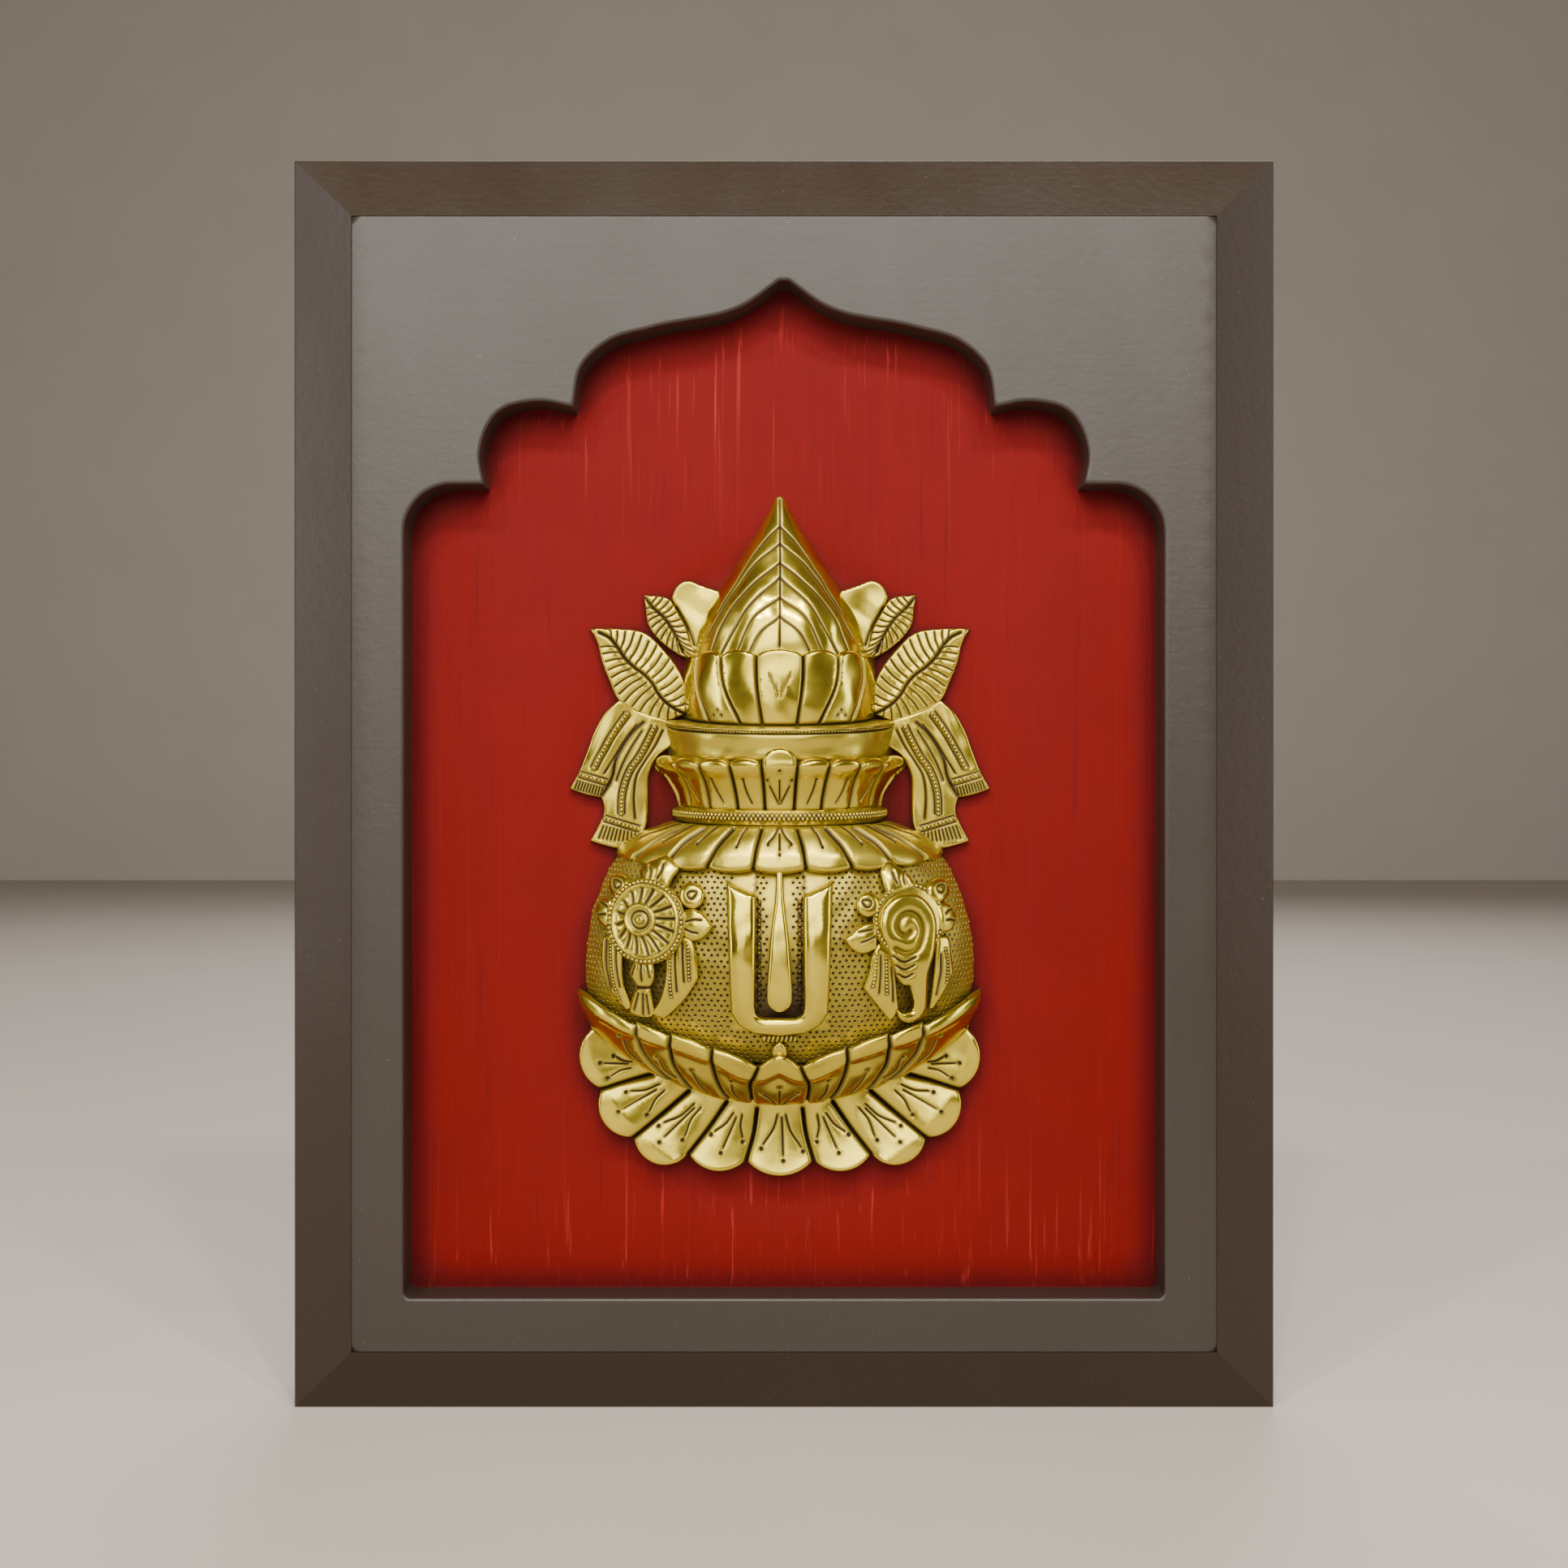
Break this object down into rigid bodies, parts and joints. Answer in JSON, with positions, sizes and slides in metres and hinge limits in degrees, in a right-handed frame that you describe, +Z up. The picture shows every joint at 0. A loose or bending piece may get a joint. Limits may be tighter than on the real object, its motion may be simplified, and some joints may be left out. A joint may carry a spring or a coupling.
{
  "type": "framed kalash relief",
  "caption": "Brass kalash relief with lotus base, leaves and emblems on padded silk, behind a lobed-arch board in a bevelled wooden frame that stands or hangs.",
  "frame": {"origin": "on the bottom face that the frame stands on, on the frame's centre line, 6 mm behind the bevel's front edge", "axes": "+Z up, +X to the viewer's right, -Y out of the front of the relief"},
  "size_m": [0.2794, 0.0676, 0.3556],
  "materials": {
    "frame_paint": "dark brown semi-gloss paint",
    "bare_wood": "planed, unpainted",
    "hardboard": "smooth brown fibreboard",
    "silk": "red slubbed dupion silk",
    "wadding": "white polyester wadding",
    "brass": "polished, dark patina in the engraving",
    "steel": "zinc plated",
    "pad": "matt black"
  },
  "bodies": {
    "frame": {"arch_panel": "frame_paint", "back_bars": "brass", "big_leaf_left": "brass", "big_leaf_right": "brass", "bottom_rail": "frame_paint", "bumper_pads": "pad", "chakra_emblem": "brass", "coconut_cone": "brass", "corner_dowels": "bare_wood", "hanger_screws": "steel", "hanger_strap_left": "steel", "hanger_strap_right": "steel", "left_stile": "frame_paint", "lotus_base": "brass", "lotus_cup": "brass", "mounting_nuts": "steel", "mounting_studs": "steel", "mounting_washers": "steel", "mouth_bowl": "brass", "neck_ring": "brass", "petal_cup": "brass", "petal_flare": "brass", "pot_body": "brass", "rear_cover": "hardboard", "rear_leaf_left": "brass", "rear_leaf_right": "brass", "right_stile": "frame_paint", "sashes_left": "brass", "sashes_right": "brass", "shankha_emblem": "brass", "shoulder_collar": "brass", "silk_board": "hardboard", "silk_cloth": "silk", "small_leaf_left": "brass", "small_leaf_right": "brass", "spacer_bottom": "bare_wood", "spacer_left": "bare_wood", "spacer_right": "bare_wood", "spacer_top": "bare_wood", "tilak_stroke": "brass", "tilak_u": "brass", "top_rail": "frame_paint", "turn_button_screws": "steel", "wadding": "wadding"},
    "turn_button_left_high": {"turn_button_left_high": "steel"},
    "turn_button_left_low": {"turn_button_left_low": "steel"},
    "turn_button_right_high": {"turn_button_right_high": "steel"},
    "turn_button_right_low": {"turn_button_right_low": "steel"},
    "hanger_ring_left": {"hanger_ring_left": "steel"},
    "hanger_ring_right": {"hanger_ring_right": "steel"}
  },
  "joints": [
    {"name": "turn_button_left_low_swivel", "type": "hinge", "parent": "frame", "child": "turn_button_left_low", "pos_m": [-0.1307, 0.0252, 0.07], "axis": [0, 1, 0], "range_deg": [-90, 90]},
    {"name": "turn_button_left_high_swivel", "type": "hinge", "parent": "frame", "child": "turn_button_left_high", "pos_m": [-0.1307, 0.0252, 0.22], "axis": [0, 1, 0], "range_deg": [-90, 90]},
    {"name": "turn_button_right_low_swivel", "type": "hinge", "parent": "frame", "child": "turn_button_right_low", "pos_m": [0.1307, 0.0252, 0.07], "axis": [0, 1, 0], "range_deg": [-90, 90]},
    {"name": "turn_button_right_high_swivel", "type": "hinge", "parent": "frame", "child": "turn_button_right_high", "pos_m": [0.1307, 0.0252, 0.22], "axis": [0, 1, 0], "range_deg": [-90, 90]},
    {"name": "hanger_ring_left_swing", "type": "hinge", "parent": "frame", "child": "hanger_ring_left", "pos_m": [-0.1307, 0.0268, 0.29], "axis": [1, 0, 0], "range_deg": [0, 170]},
    {"name": "hanger_ring_right_swing", "type": "hinge", "parent": "frame", "child": "hanger_ring_right", "pos_m": [0.1307, 0.0268, 0.29], "axis": [1, 0, 0], "range_deg": [0, 170]}
  ]
}
